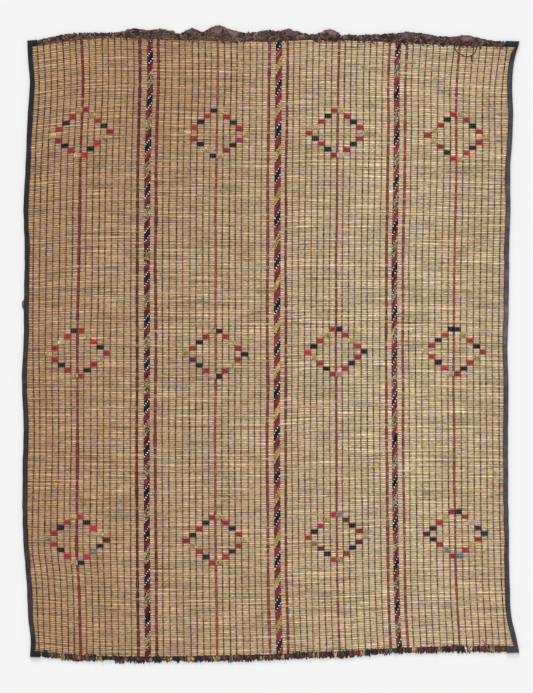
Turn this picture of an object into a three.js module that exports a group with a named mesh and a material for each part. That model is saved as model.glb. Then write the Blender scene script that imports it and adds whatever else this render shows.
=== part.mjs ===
// A reed and leather mat, lying flat. Reeds run across it, along X. Leather thongs, three patterned
// bands and the folded side bindings run along it, along Y. The origin is on the surface that the mat
// lies on, under the middle of its outline. Millimetres, +Z up.
import * as THREE from 'three';

// Driving dimensions.
const reedHeight = 4.4;
const thongThickness = 0.9;
const bandWidth = 17.6;
const bandThickness = 1.2;
const leatherThickness = 1.2;
const bindingWidth = 16;
const returnWidth = 19;
const clearance = 0.3;
const bandEndGap = 1;
const topEdgingHeight = 8.5;
const bottomEdgingHeight = 6;
const bottomEdgingReach = 15;

// Sizes worked out from them.
const matThickness = reedHeight + 2 * thongThickness;
const underFlap = leatherThickness + clearance;
const bindingHeight = reedHeight + 2 * underFlap;
const bandBottom = matThickness + clearance;

// The lines that run along the mat: x of both outer edges and of the middle of each band.
const lengthwise = [
  { y: 960, left: -780, bandLeft: -382, bandMiddle: 32, bandRight: 414, right: 793 },
  { y: 902, left: -775, bandLeft: -384, bandMiddle: 29, bandRight: 410, right: 779 },
  { y: 845, left: -770, bandLeft: -385, bandMiddle: 27, bandRight: 406, right: 773 },
  { y: 787, left: -774, bandLeft: -387, bandMiddle: 26, bandRight: 405, right: 776 },
  { y: 730, left: -777, bandLeft: -389, bandMiddle: 25, bandRight: 405, right: 776 },
  { y: 672, left: -780, bandLeft: -390, bandMiddle: 24, bandRight: 404, right: 773 },
  { y: 557, left: -784, bandLeft: -393, bandMiddle: 23, bandRight: 403, right: 767 },
  { y: 442, left: -790, bandLeft: -394, bandMiddle: 22, bandRight: 402, right: 767 },
  { y: 326, left: -787, bandLeft: -395, bandMiddle: 22, bandRight: 399, right: 764 },
  { y: 211, left: -789, bandLeft: -395, bandMiddle: 22, bandRight: 398, right: 760 },
  { y: 96, left: -789, bandLeft: -395, bandMiddle: 21, bandRight: 398, right: 761 },
  { y: -19, left: -791, bandLeft: -395, bandMiddle: 21, bandRight: 398, right: 758 },
  { y: -77, left: -795, bandLeft: -395, bandMiddle: 21, bandRight: 398, right: 760 },
  { y: -134, left: -793, bandLeft: -396, bandMiddle: 20, bandRight: 398, right: 760 },
  { y: -250, left: -790, bandLeft: -396, bandMiddle: 20, bandRight: 399, right: 760 },
  { y: -422, left: -793, bandLeft: -396, bandMiddle: 21, bandRight: 400, right: 760 },
  { y: -538, left: -789, bandLeft: -395, bandMiddle: 22, bandRight: 402, right: 762 },
  { y: -653, left: -789, bandLeft: -395, bandMiddle: 22, bandRight: 404, right: 763 },
  { y: -710, left: -783, bandLeft: -394, bandMiddle: 23, bandRight: 405, right: 764 },
  { y: -768, left: -779, bandLeft: -394, bandMiddle: 23, bandRight: 406, right: 765 },
  { y: -826, left: -774, bandLeft: -393, bandMiddle: 24, bandRight: 407, right: 769 },
  { y: -883, left: -774, bandLeft: -393, bandMiddle: 26, bandRight: 409, right: 773 },
  { y: -941, left: -767, bandLeft: -392, bandMiddle: 28, bandRight: 411, right: 787 },
  { y: -979, left: -771, bandLeft: -392, bandMiddle: 29, bandRight: 413, right: 794 },
];

// The lines that run across it: y of the last reed at the far end (top) and at the near end (bottom).
const crosswise = [
  { x: -765, top: 952, bottom: -981 },
  { x: -700, top: 963, bottom: -987 },
  { x: -580, top: 978, bottom: -996 },
  { x: -460, top: 982, bottom: -999 },
  { x: -330, top: 976, bottom: -1000 },
  { x: -200, top: 974, bottom: -996 },
  { x: 0, top: 969, bottom: -992 },
  { x: 100, top: 974, bottom: -987 },
  { x: 265, top: 972, bottom: -981 },
  { x: 440, top: 965, bottom: -970 },
  { x: 590, top: 957, bottom: -966 },
  { x: 755, top: 952, bottom: -965 },
];

// Where each binding turns a corner and where its return ends.
const corners = {
  topLeft: { x: -778, y: 972, endX: -746, endY: 975 },
  topRight: { x: 796, y: 970, endX: 752, endY: 971 },
  bottomLeft: { x: -769, y: -999, endX: -736, endY: -1000 },
  bottomRight: { x: 796, y: -985, endX: 755, endY: -986 },
};

// A worn tag of leather that stands out of the left binding.
const tag = { middle: 129, length: 34, slope: 10, reach: 7 };

// How far the far edging stands out past the last reed, and how thick its lumps are.
const topEdging = [
  { x: -746, reach: 20, lump: 0 },
  { x: -700, reach: 22, lump: 0 },
  { x: -563, reach: 18, lump: 0 },
  { x: -486, reach: 14, lump: 0 },
  { x: -448, reach: 27, lump: 1.5 },
  { x: -352, reach: 32, lump: 1 },
  { x: -294, reach: 20, lump: 0 },
  { x: -256, reach: 37, lump: 2 },
  { x: -218, reach: 31, lump: 1 },
  { x: -179, reach: 47.7, lump: 4 },
  { x: -141, reach: 37, lump: 3 },
  { x: -64, reach: 27, lump: 0 },
  { x: 13, reach: 35, lump: 1 },
  { x: 51, reach: 36, lump: 1 },
  { x: 128, reach: 18, lump: 0 },
  { x: 166, reach: 22, lump: 0 },
  { x: 205, reach: 32, lump: 2.5 },
  { x: 243, reach: 14, lump: 0 },
  { x: 320, reach: 22, lump: 0 },
  { x: 435, reach: 33, lump: 2 },
  { x: 512, reach: 28, lump: 1 },
  { x: 570, reach: 27, lump: 0 },
  { x: 627, reach: 36, lump: 2 },
  { x: 704, reach: 23, lump: 0 },
  { x: 752, reach: 20, lump: 0 },
];

// The cut tails of the near edging.
const tails = [
  { x: -616, width: 16, reach: 20 },
  { x: -483, width: 19, reach: 22.5 },
  { x: -419, width: 19, reach: 21 },
  { x: -194, width: 16, reach: 23 },
  { x: -70, width: 13, reach: 25 },
  { x: 42, width: 10, reach: 21 },
  { x: 229, width: 22, reach: 23 },
  { x: 275, width: 10, reach: 20 },
  { x: 355, width: 10, reach: 18 },
  { x: 416, width: 10, reach: 21 },
  { x: 515, width: 19, reach: 21 },
  { x: 627, width: 26, reach: 23 },
  { x: 731, width: 10, reach: 22 },
];

/** The value of one column of a table at a place between its rows, on a straight line. */
function between(table, key, column, at) {
  const rows = [...table].sort((a, b) => a[key] - b[key]);
  let next = rows.findIndex((row) => row[key] >= at);
  if (next === -1) next = rows.length - 1;
  if (next === 0) next = 1;
  const low = rows[next - 1];
  const high = rows[next];
  const share = (at - low[key]) / (high[key] - low[key]);
  return THREE.MathUtils.lerp(low[column], high[column], THREE.MathUtils.clamp(share, 0, 1));
}

const lineAt = (column, y) => between(lengthwise, 'y', column, y);
const endAt = (column, x) => between(crosswise, 'x', column, x);

/** The points of a side's outer edge, from corner to corner. */
function outerEdge(side) {
  const topCorner = corners[`top${side}`];
  const bottomCorner = corners[`bottom${side}`];
  const along = lengthwise
    .filter(({ y }) => y < topCorner.y - 2 * returnWidth && y > bottomCorner.y + 2 * returnWidth)
    .map((row) => ({ x: row[side.toLowerCase()], y: row.y }));
  return [topCorner, ...along, bottomCorner];
}

/** count + 1 values in equal steps. */
function steps(from, to, count) {
  return Array.from({ length: count + 1 }, (_, i) => from + ((to - from) * i) / count);
}

/** The whole numbers from 0 up to, but without, this one. */
const upTo = (number) => Array.from({ length: number }, (_, i) => i);

/** A geometry from points and triangles of one closed body, turned so that its faces point out. */
function closedGeometry(points, triangles) {
  const [a, b, c] = [new THREE.Vector3(), new THREE.Vector3(), new THREE.Vector3()];
  let volume = 0;
  for (const [i, j, k] of triangles) {
    a.fromArray(points[i]);
    b.fromArray(points[j]);
    c.fromArray(points[k]);
    volume += a.dot(b.cross(c));
  }
  const faces = volume > 0 ? triangles : triangles.map(([i, j, k]) => [i, k, j]);
  const geometry = new THREE.BufferGeometry();
  geometry.setAttribute('position', new THREE.Float32BufferAttribute(points.flat(), 3));
  geometry.setIndex(faces.flat());
  geometry.computeVertexNormals();
  return geometry;
}

/** A closed slab over a grid of places, each { x, y, low, high }. */
function slab(grid) {
  const rows = grid.length;
  const columns = grid[0].length;
  const count = rows * columns;
  const places = grid.flat();
  const points = [
    ...places.map((p) => [p.x, p.y, p.high]),
    ...places.map((p) => [p.x, p.y, p.low]),
  ];
  const triangles = [];
  const quad = (i, j, k, l) => triangles.push([i, j, k], [i, k, l]);
  for (let r = 0; r < rows - 1; r += 1) {
    for (let c = 0; c < columns - 1; c += 1) {
      const i = r * columns + c;
      quad(i, i + 1, i + columns + 1, i + columns);
      quad(count + i, count + i + columns, count + i + columns + 1, count + i + 1);
    }
  }
  const lastRow = rows - 1;
  const lastColumn = columns - 1;
  const rim = [
    ...upTo(lastColumn),
    ...upTo(lastRow).map((r) => r * columns + lastColumn),
    ...upTo(lastColumn).map((c) => lastRow * columns + lastColumn - c),
    ...upTo(lastRow).map((r) => (lastRow - r) * columns),
  ];
  rim.forEach((i, at) => {
    const next = rim[(at + 1) % rim.length];
    quad(i, count + i, count + next, next);
  });
  return closedGeometry(points, triangles);
}

/** The body of the mat, thinned from above and below where a binding is folded over it. */
function reedMat() {
  const step = 2;
  // The columns near a side, by their distance in from its edge. Those past the flap keep a distance
  // from the end of the binding's return instead, in the rows near an end. The end row of a column
  // in the return reaches on into it.
  const sideColumns = [
    { inset: underFlap, underFlap: true, underReturn: true, inReturn: true },
    { inset: bindingWidth + step, underFlap: true, underReturn: true, inReturn: true },
    { inset: bindingWidth + 2 * step, underReturn: true, inReturn: true },
    { inset: bindingWidth + 7 * step, fromReturn: -1, underReturn: true, inReturn: true },
    { inset: bindingWidth + 8 * step, fromReturn: 0, underReturn: true },
    { inset: bindingWidth + 10 * step, fromReturn: 2 * step },
  ];
  const edges = { Left: outerEdge('Left'), Right: outerEdge('Right') };
  const columns = [
    ...sideColumns.map((column) => ({ ...column, side: 'Left', inward: 1 })),
    ...crosswise.slice(1, -1).map(({ x }) => ({ x })),
    ...sideColumns.map((column) => ({ ...column, side: 'Right', inward: -1 })).reverse(),
  ];
  // The rows near an end, by their distance in from the last reed.
  const endRows = [
    { inset: 0, last: true, underReturn: true },
    { inset: returnWidth + step, underReturn: true },
    { inset: returnWidth + 2 * step },
  ];
  const rows = [
    ...endRows.map((row) => ({ ...row, end: 'top', inward: -1, y: corners.topLeft.y })),
    ...edges.Left.slice(1, -1).map(({ y }) => ({ y })),
    ...endRows.map((row) => ({ ...row, end: 'bottom', inward: 1, y: corners.bottomLeft.y })).reverse(),
  ];

  const xOf = (column, row, y) => {
    if (!column.side) return column.x;
    if (row.end && column.fromReturn !== undefined) {
      return corners[row.end + column.side].endX + column.inward * column.fromReturn;
    }
    return between(edges[column.side], 'y', 'x', y) + column.inward * column.inset;
  };
  const yOf = (column, row, x) => {
    if (!row.end) return row.y;
    if (row.last && column.inReturn) {
      const corner = corners[row.end + column.side];
      const share = (x - corner.x) / (corner.endX - corner.x);
      return THREE.MathUtils.lerp(corner.y, corner.endY, share) + row.inward * underFlap;
    }
    return endAt(row.end, x) + row.inward * row.inset;
  };
  return slab(
    rows.map((row) =>
      columns.map((column) => {
        const y = yOf(column, row, xOf(column, row, row.y));
        const folded = column.underFlap || (column.underReturn && row.underReturn);
        return {
          x: xOf(column, row, y),
          y,
          low: folded ? underFlap : 0,
          high: folded ? underFlap + reedHeight : matThickness,
        };
      }),
    ),
  );
}

/** A patterned band, a strip that lies on the mat from end to end. */
function band(column) {
  const [first, ...others] = lengthwise;
  const last = others.pop();
  const ys = [
    endAt('top', first[column]) - bandEndGap,
    ...others.map((row) => row.y),
    endAt('bottom', last[column]) + bandEndGap,
  ];
  return slab(
    ys.map((y) =>
      [-1, 1].map((side) => ({
        x: lineAt(column, y) + (side * bandWidth) / 2,
        y,
        low: bandBottom,
        high: bandBottom + bandThickness,
      })),
    ),
  );
}

/** How far the tag stands out of the left edge at a place along it. */
function tagReach(y) {
  const past = Math.abs(y - tag.middle) - (tag.length / 2 - tag.slope);
  return tag.reach * THREE.MathUtils.clamp(1 - past / tag.slope, 0, 1);
}

/** A side binding: a strip folded over the edge, swept round both corners into its two returns. */
function binding(side) {
  const inward = side === 'Left' ? 1 : -1;
  const edge = outerEdge(side);
  const [topCorner, bottomCorner] = [edge[0], edge.at(-1)];
  const [half, top] = [tag.length / 2, tag.length / 2 - tag.slope];
  const tagYs = [half, top, -top, -half].map((away) => tag.middle + away);
  const tagPoints = tagYs.map((y) => ({ x: between(edge, 'y', 'x', y) - tagReach(y), y }));
  const along = [...edge.slice(1, -1), ...(side === 'Left' ? tagPoints : [])];
  const stations = [
    { x: topCorner.endX, y: topCorner.endY, inX: 0, inY: -1 },
    { x: topCorner.x, y: topCorner.y, inX: inward, inY: -1 },
    ...along.sort((a, b) => b.y - a.y).map(({ x, y }) => ({ x, y, inX: inward, inY: 0 })),
    { x: bottomCorner.x, y: bottomCorner.y, inX: inward, inY: 1 },
    { x: bottomCorner.endX, y: bottomCorner.endY, inX: 0, inY: 1 },
  ];
  const t = leatherThickness;
  const round = 0.8;
  // Each corner of the section: how far in from the fold, as part of the flap or in millimetres.
  const section = [
    { flap: 0, wall: round, z: 0 },
    { flap: 1, wall: 0, z: 0 },
    { flap: 1, wall: 0, z: t },
    { flap: 0, wall: t, z: t },
    { flap: 0, wall: t, z: bindingHeight - t },
    { flap: 1, wall: 0, z: bindingHeight - t },
    { flap: 1, wall: 0, z: bindingHeight },
    { flap: 0, wall: round, z: bindingHeight },
    { flap: 0, wall: 0, z: bindingHeight - round },
    { flap: 0, wall: 0, z: round },
  ];
  const points = stations.flatMap((at) =>
    section.map(({ flap, wall, z }) => [
      at.x + at.inX * (flap * bindingWidth + wall),
      at.y + at.inY * (flap * returnWidth + wall),
      z,
    ]),
  );
  const n = section.length;
  const triangles = [];
  for (let s = 0; s < stations.length - 1; s += 1) {
    for (let i = 0; i < n; i += 1) {
      const j = (i + 1) % n;
      const [a, b] = [s * n + i, s * n + j];
      triangles.push([a, b, b + n], [a, b + n, a + n]);
    }
  }
  const outline = section.map(({ flap, wall, z }) => new THREE.Vector2(flap * bindingWidth + wall, z));
  const last = (stations.length - 1) * n;
  for (const [i, j, k] of THREE.ShapeUtils.triangulateShape(outline, [])) {
    const turned = THREE.ShapeUtils.isClockWise(outline);
    const [p, q] = turned ? [j, k] : [k, j];
    triangles.push([i, p, q], [last + i, last + q, last + p]);
  }
  return closedGeometry(points, triangles);
}

/** The ends, the points of the end lines and then the wished places that lie clear of those before. */
function spaced(wished, from, to) {
  const kept = [];
  const least = 1.5;
  for (const x of [from, to, ...crosswise.map((row) => row.x), ...wished]) {
    if (x >= from && x <= to && kept.every((other) => Math.abs(other - x) >= least)) kept.push(x);
  }
  return kept.sort((a, b) => a - b);
}

/** The far edging: a ragged strip past the last reed, thicker at its lumps. */
function edgingTop() {
  const from = corners.topLeft.endX + clearance;
  const to = corners.topRight.endX - clearance;
  const columnsAcross = 120;
  const rimShare = 0.7;
  const waves = [
    { depth: 1.6, length: 33, shift: 0 },
    { depth: 1.4, length: 19.5, shift: 1 },
  ];
  const waveAt = ({ depth, length, shift }, x) => depth * Math.sin((2 * Math.PI * x) / length + shift);
  const ragged = (x) => waves.reduce((sum, wave) => sum + waveAt(wave, x), 0);
  const highest = Math.max(...topEdging.map((row) => row.reach));
  const columns = spaced([...topEdging.map((row) => row.x), ...steps(from, to, columnsAcross)], from, to);
  return slab(
    [0, 0.5, 1].map((share) =>
      columns.map((x) => {
        const reach = between(topEdging, 'x', 'reach', x);
        const lump = between(topEdging, 'x', 'lump', x);
        const uneven = reach === highest ? 0 : ragged(x);
        const out = THREE.MathUtils.lerp(clearance, reach + uneven, share);
        const height = topEdgingHeight * (share === 0.5 ? 1 : rimShare);
        return { x, y: endAt('top', x) + out, low: 0, high: height + lump };
      }),
    ),
  );
}

/** The near edging: a strip past the last reed with its cut tails, one comb. */
function edgingBottom() {
  const from = corners.bottomLeft.endX + clearance;
  const to = corners.bottomRight.endX - clearance;
  const columnsAcross = 60;
  const slope = 2;
  const wave = { depth: 0.8, length: 38 };
  const reachAt = (x) => {
    const near = tails.find((tail) => Math.abs(x - tail.x) <= tail.width / 2 + slope / 2);
    return near ? near.reach : bottomEdgingReach + wave.depth * Math.sin((2 * Math.PI * x) / wave.length);
  };
  const tailSides = tails.flatMap(({ x, width }) => [
    x - width / 2 - slope,
    x - width / 2,
    x + width / 2,
    x + width / 2 + slope,
  ]);
  const wished = [...tailSides, ...tails.map((tail) => tail.x), ...steps(from, to, columnsAcross)];
  const columns = spaced(wished, from, to);
  return slab(
    [0, 1].map((share) =>
      columns.map((x) => ({
        x,
        y: endAt('bottom', x) - THREE.MathUtils.lerp(clearance, reachAt(x), share),
        low: 0,
        high: bottomEdgingHeight,
      })),
    ),
  );
}

const mat = new THREE.Group();

/** Adds one named piece with its own material. */
function add(name, geometry, color, roughness) {
  const material = new THREE.MeshStandardMaterial({ color, roughness, metalness: 0 });
  const mesh = new THREE.Mesh(geometry, material);
  mesh.name = name;
  mat.add(mesh);
}

add('reed_mat', reedMat(), 0xb4946c, 0.75);
add('band_left', band('bandLeft'), 0x6e3030, 0.7);
add('band_middle', band('bandMiddle'), 0x6e3030, 0.7);
add('band_right', band('bandRight'), 0x6e3030, 0.7);
add('binding_left', binding('Left'), 0x352b30, 0.6);
add('binding_right', binding('Right'), 0x4e4548, 0.6);
add('edging_top', edgingTop(), 0x46342f, 0.8);
add('edging_bottom', edgingBottom(), 0x50302a, 0.8);

export default mat;
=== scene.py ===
"""A mat of reeds and leather, lying flat, seen from straight above.

Reeds lie side by side across the mat, along X. Leather thongs run along it, along Y, over and under
every reed. Three patterned bands, twelve small lozenges, two folded side bindings and the edgings of
both ends finish it. Lengths are in millimetres here and become metres where a mesh is made.
"""
import math

import bpy
import numpy as np
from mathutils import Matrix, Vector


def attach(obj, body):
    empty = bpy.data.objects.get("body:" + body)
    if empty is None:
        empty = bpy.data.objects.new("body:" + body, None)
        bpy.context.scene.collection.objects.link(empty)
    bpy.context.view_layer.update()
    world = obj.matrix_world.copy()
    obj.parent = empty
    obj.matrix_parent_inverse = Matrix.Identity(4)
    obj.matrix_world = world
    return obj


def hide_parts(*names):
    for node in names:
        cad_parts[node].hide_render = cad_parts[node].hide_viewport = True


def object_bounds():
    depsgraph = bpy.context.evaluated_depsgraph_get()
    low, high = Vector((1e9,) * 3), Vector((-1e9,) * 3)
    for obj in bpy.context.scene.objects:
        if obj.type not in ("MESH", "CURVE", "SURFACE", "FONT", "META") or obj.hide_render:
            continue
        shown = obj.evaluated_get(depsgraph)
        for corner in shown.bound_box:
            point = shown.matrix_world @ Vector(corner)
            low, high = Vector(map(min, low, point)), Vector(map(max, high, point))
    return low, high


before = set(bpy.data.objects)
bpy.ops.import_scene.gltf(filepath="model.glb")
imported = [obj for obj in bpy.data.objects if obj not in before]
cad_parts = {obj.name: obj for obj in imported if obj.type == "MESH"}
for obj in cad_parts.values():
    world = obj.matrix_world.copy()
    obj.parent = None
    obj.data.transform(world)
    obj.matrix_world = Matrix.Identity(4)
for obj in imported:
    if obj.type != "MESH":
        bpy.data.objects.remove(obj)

cad_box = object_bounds()

# ---- Sizes, in millimetres ----
MM = 0.001
REEDS = 327
REED_PITCH = 6.0
REED_HEIGHT = 4.4
REED_WIDTHS = (2.1, 9.8)
THONG_THICKNESS = 0.9
MAT_THICKNESS = REED_HEIGHT + 2 * THONG_THICKNESS
THONG_WIDTH = 3.6
BAND_SURFACE = MAT_THICKNESS + 1.3
STRIP_PITCH = 4.8
BINDING_WIDTH = 16
RETURN_WIDTH = 19
EDGING_GAP = 0.3
TOP_EDGING_HEIGHT = 8.5
BOTTOM_EDGING_REACH = 15
BOTTOM_EDGING_HEIGHT = 6
WRAP_PITCH = 4.2
TAIL_PITCH = 3.2

# The length, width and height of each kind of small round-ended body.
BAND_STITCH = (4.2, 3.1, 1.8)
BINDING_STITCH = (5.5, 1.2, 0.9)
KNOT = (11.5, 5.4, 3.4)
RIM_FOLD = (12.5, 6.0, 5.0)
TAN_WRAP = (7.5, 3.8, 2.6)

# What starts each part's random draws, so that they come out the same every time.
SEEDS = {
    "gaps": 5, "reeds": 11, "thongs": 21, "lozenges": 31, "bands": 41,
    "far_edging": 51, "near_edging": 61, "bindings": 71, "loose": 81,
}

# Counts: the knots that the gaps between reeds stray at, the reeds that a patch covers, the strips that
# a patch is made of, and the reeds from one station of the thongs' back runs to the next.
GAP_KNOTS = 25
REEDS_PER_PATCH = 3
STRIPS_PER_PATCH = 4
BACK_STEP = 4


def table(columns, *rows):
    """Rows with named columns."""
    names = columns.split()
    return [dict(zip(names, row)) for row in rows]


# The lines that run along the mat: x of both outer edges and of the middle of each band.
LENGTHWISE = table(
    "y left band_left band_middle band_right right",
    (960, -780, -386, 27, 409, 793),
    (902, -775, -385, 27, 406, 779),
    (845, -770, -385, 26, 404, 773),
    (730, -777, -389, 25, 404, 776),
    (557, -784, -393, 23, 402, 767),
    (442, -790, -394, 22, 400, 767),
    (326, -787, -395, 22, 397, 764),
    (96, -789, -395, 21, 396, 761),
    (-19, -791, -395, 21, 396, 758),
    (-77, -795, -395, 21, 396, 760),
    (-250, -790, -396, 20, 397, 760),
    (-422, -793, -396, 21, 398, 760),
    (-653, -789, -395, 22, 401, 763),
    (-768, -779, -394, 23, 403, 765),
    (-883, -774, -393, 26, 407, 773),
    (-941, -767, -392, 28, 410, 787),
    (-979, -771, -392, 29, 412, 794),
)

# The lines that run across it: y of the last reed at the far end (top) and at the near one.
CROSSWISE = table(
    "x top bottom",
    (-765, 952, -981), (-700, 963, -987), (-580, 978, -996), (-460, 982, -999),
    (-330, 976, -1000), (-200, 974, -996), (0, 969, -992), (100, 974, -987),
    (265, 972, -981), (440, 965, -970), (590, 957, -966), (755, 952, -965),
)

# Where each binding turns a corner and where its return ends, at the far end and at the near one.
CORNERS = {
    "left": table("x y end_x end_y", (-778, 972, -746, 975), (-769, -999, -736, -1000)),
    "right": table("x y end_x end_y", (796, 970, 752, 971), (796, -985, 755, -986)),
}

# The outermost thong of either side.
SIDE_THONGS = table(
    "y first last",
    (947, -746, 756), (832, -741, 741), (602, -752, 739), (83, -760, 730), (-378, -757, 732),
    (-550, -762, 733), (-666, -761, 736), (-723, -753, 737), (-954, -742, 752),
)

# The four panels: the lines beside them, how far from those their first and last thong lies, how far
# the middle thongs stand off their even places on the far half and on the near one, how many thongs
# there are, which one runs through the lozenges, and how wide and how light the brown ones are.
PANELS = table(
    "name start end first last sway thongs centre breadth shade",
    ("thongs_1", "first", "band_left", 0, -31, (0.8, -4.5), 17, 7, 1.0, 1.22),
    ("thongs_2", "band_left", "band_middle", 28.5, -31, (2.5, 2.5), 18, 9, 1.0, 0.9),
    ("thongs_3", "band_middle", "band_right", 27.5, -27.5, (1, 1), 17, 8, 0.95, 0.96),
    ("thongs_4", "band_right", "last", 26.5, 0, (1, 1), 16, 8, 0.88, 1.1),
)

# Where the sway passes from its far value to its near one, as shares of the way along the mat.
SWAY_CHANGE = (0.38, 0.5)

# The red thongs of each panel: the dye and width of each, by its number from the left.
RED_THONGS = {
    "thongs_1": {7: ("russet", 9.2), 16: ("wine", 9.4)},
    "thongs_2": {0: ("garnet", 9.4), 9: ("coral", 7.6), 17: ("brick", 9.0)},
    "thongs_3": {0: ("garnet", 8.2), 8: ("madder", 7.2), 16: ("madder", 8.4)},
    "thongs_4": {0: ("terracotta", 8.0), 8: ("terracotta", 7.2)},
}

# The far edging: how far it stands out past the last reed, and roughly how much its lumps add to its
# height.
TOP_EDGING = table(
    "x reach lump",
    (-746, 18, 0), (-643, 24, 0), (-563, 19, 0), (-486, 17.5, 0), (-448, 28, 1.5), (-400, 27, 1),
    (-323, 31, 0), (-294, 19, 0), (-256, 35, 2), (-218, 28, 1), (-165, 47, 4), (-141, 40, 3),
    (-64, 28, 0), (-3, 38, 1), (29, 33, 1), (54, 38, 1), (93, 25, 0), (128, 18, 0), (205, 31, 2.5),
    (221, 20, 0), (253, 19, 0), (381, 27, 1), (435, 34, 2), (570, 27, 0), (627, 33, 2), (704, 20, 0),
    (752, 20, 0),
)

# Smooth folds of leather that stand up out of the far edging.
LUMPS = table(
    "x length rise color",
    (-248, 36, 3.5, "plum"), (-168, 50, 4.5, "lilac"), (-118, 46, 3.0, "lilac"),
    (66, 50, 3.0, "plum"), (197, 42, 4.0, "lilac"), (440, 60, 3.0, "plum"),
    (500, 34, 2.4, "plum"), (626, 44, 4.0, "lilac"), (672, 28, 2.6, "plum"),
)

# Orange-brown wraps at the left part of the far edging: where each row starts, how far past the last
# reed and how high it lies, and how many of its places are taken.
TAN_ROWS = table(
    "start out height share",
    (-741.7, 1.8, 6.6, 0.85), (-250, 6.0, 8.4, 0.75), (-225, 10.0, 8.8, 0.5),
)
TAN_ROWS_END = -96

# How far the near edging stands out past the last reed.
BOTTOM_EDGING = table(
    "x reach",
    (-746, 17), (-690, 18), (-500, 15), (-350, 14.5), (-170, 19),
    (80, 17), (230, 19), (300, 16), (640, 20), (752, 20),
)

# The near edging's wrapped blocks, from left to right: a colour letter and a width each.
WRAPS = (
    "Y10 K13 B38 Y14 B8 K16 R16 Y18 R19 K19 Y19 K16 B20 K28 B16 K22 M30 B8 Y14 K27 R20 Y17 K23 "
    "R21 Y22 K21 M23 B14 Y19 B28 G22 R18 B36 K21 Y13 B46 Y14 B28 K21 B19 K20 Y20 M23 K23 W12 "
    "B20 K27 R17 Y22 K36 R15 G30 B14 K28 B18 Y16 M32 B10 K21 Y18 K23 R17 K23 W26 R14 K18 R22 "
    "Y15 B36"
)

# The cut tails of the near edging.
TAILS = table(
    "x width reach color",
    (-616, 24, 20, "oxblood"), (-483, 30, 22, "umber"), (-415, 24, 21, "maroon"),
    (-360, 18, 19, "umber"), (-295, 8, 19, "black"), (-246, 6, 20, "umber"),
    (-194, 24, 20, "umber"), (-70, 16, 22, "maroon"), (-10, 8, 20, "umber"),
    (48, 18, 20, "black"), (229, 14, 22, "umber"), (284, 12, 20, "umber"),
    (374, 20, 20, "brown"), (416, 10, 20, "umber"), (515, 20, 21, "brown"),
    (624, 28, 20, "brown"), (731, 14, 22, "tan"),
)

# The bands: how wide they are, how steeply their strips slant, the middles of some black blocks (the
# number from the far end, and y), and the lengths of the three kinds of block. A maroon block lies on
# either side of each mottled one.
BANDS = table(
    "name width slant middles black maroon mottled",
    ("band_left", 19.2, 1.35, ((0, 918), (4, 352), (13, -880)), 29, 34, 41),
    ("band_middle", 20.5, 1.7, ((0, 963), (6, 125), (13, -826)), 28, 41, 27),
    ("band_right", 18.0, 2.0, ((0, 944), (6, 99), (14, -970)), 27, 34, 41),
)

# The lozenges, one row of text for each of the twelve: nine pairs of patches, left and right of the
# middle, from the far point to the near one.
LOZENGE_REEDS = (49, 166, 265)
LOZENGES = (
    (
        "PR RP DR RD PR RO DR RD PR",
        "DP RR DD RR PP RR DD PR DP",
        "RP DR RD PR RP DR RD DR RW",
        "RP DR RD PR RP PR RD DR RP",
    ),
    (
        "DR RY PR RD PR RP DR RD PR",
        "YD RR DY RR YD UR DP RR PD",
        "RD YR RY DR RD PR RD DR RI",
        "DD RP DR RD PR RO DR RD WR",
    ),
    (
        "PR RD DR RP GM RD DG RR PD",
        "RY DR RD DR RY OR RD DR RP",
        "RG YM RD DR RO OM MD DR RO",
        "RD OR RW DU UD DR RP GR RB",
    ),
)
LOZENGE_CELLS = (1, 2, 3, 4, 5, 4, 3, 2, 1)

# The section of a binding: the share of its flap, and the height.
BINDING_SECTION = (
    (1.0, 6.25), (1.0, 6.9), (0.95, 7.3), (0.7, 7.4), (0.35, 7.35), (0.12, 7.1),
    (0.03, 6.4), (0.0, 5.0), (0.0, 2.4), (0.03, 1.0), (0.12, 0.3), (0.35, 0.02),
    (1.0, 0.0), (1.0, 1.15), (0.12, 1.2), (0.08, 2.2), (0.08, 5.2), (0.12, 6.2),
)

# Threads and strips that lie loose on the mat: the points that each runs through.
LOOSE_THREADS = table(
    "name width color points",
    (
        "loose_loop", 1.25, (48, 34, 30),
        ((588, 962), (590, 948), (597, 936), (611, 926), (628, 921), (645, 926), (655, 938), (661, 952)),
    ),
    ("loose_end", 1.3, (46, 32, 30), ((643, 924), (642, 916), (644, 909), (645, 902))),
    (
        "loose_strip", 1.5, (150, 110, 74),
        ((678, -942), (683, -951), (688, -961), (694, -971), (699, -979)),
    ),
)

# ---- Colours, from 0 to 255 ----
DYES = {
    "black": (27, 28, 34), "ink": (36, 39, 46), "soot": (42, 37, 36), "pine": (42, 54, 52),
    "red": (158, 58, 64), "rose": (176, 76, 86), "maroon": (98, 42, 50), "claret": (88, 44, 46),
    "berry": (124, 62, 60), "wine": (104, 58, 56), "garnet": (128, 68, 62), "brick": (142, 76, 68),
    "russet": (128, 64, 56), "coral": (156, 88, 74), "madder": (142, 78, 68),
    "terracotta": (150, 84, 72), "oxblood": (114, 54, 54), "purple": (88, 44, 70),
    "plum": (92, 70, 68), "lilac": (118, 92, 92), "mauve": (140, 96, 112), "pink": (186, 130, 120),
    "umber": (84, 58, 48), "brown": (112, 76, 56), "tan": (146, 104, 72),
    "mustard": (158, 134, 96), "ochre": (178, 148, 84), "amber": (196, 158, 76),
    "olive": (134, 126, 84), "straw": (178, 148, 108), "pale": (172, 152, 112),
    "reed_tan": (182, 156, 116), "faded_olive": (160, 144, 100), "faded_ochre": (186, 158, 106),
    "faded_grey": (136, 130, 114), "grey": (112, 110, 100), "blue_grey": (98, 102, 112),
    "chalk": (190, 172, 150), "cream": (214, 196, 172), "white": (246, 238, 230),
}

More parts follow.
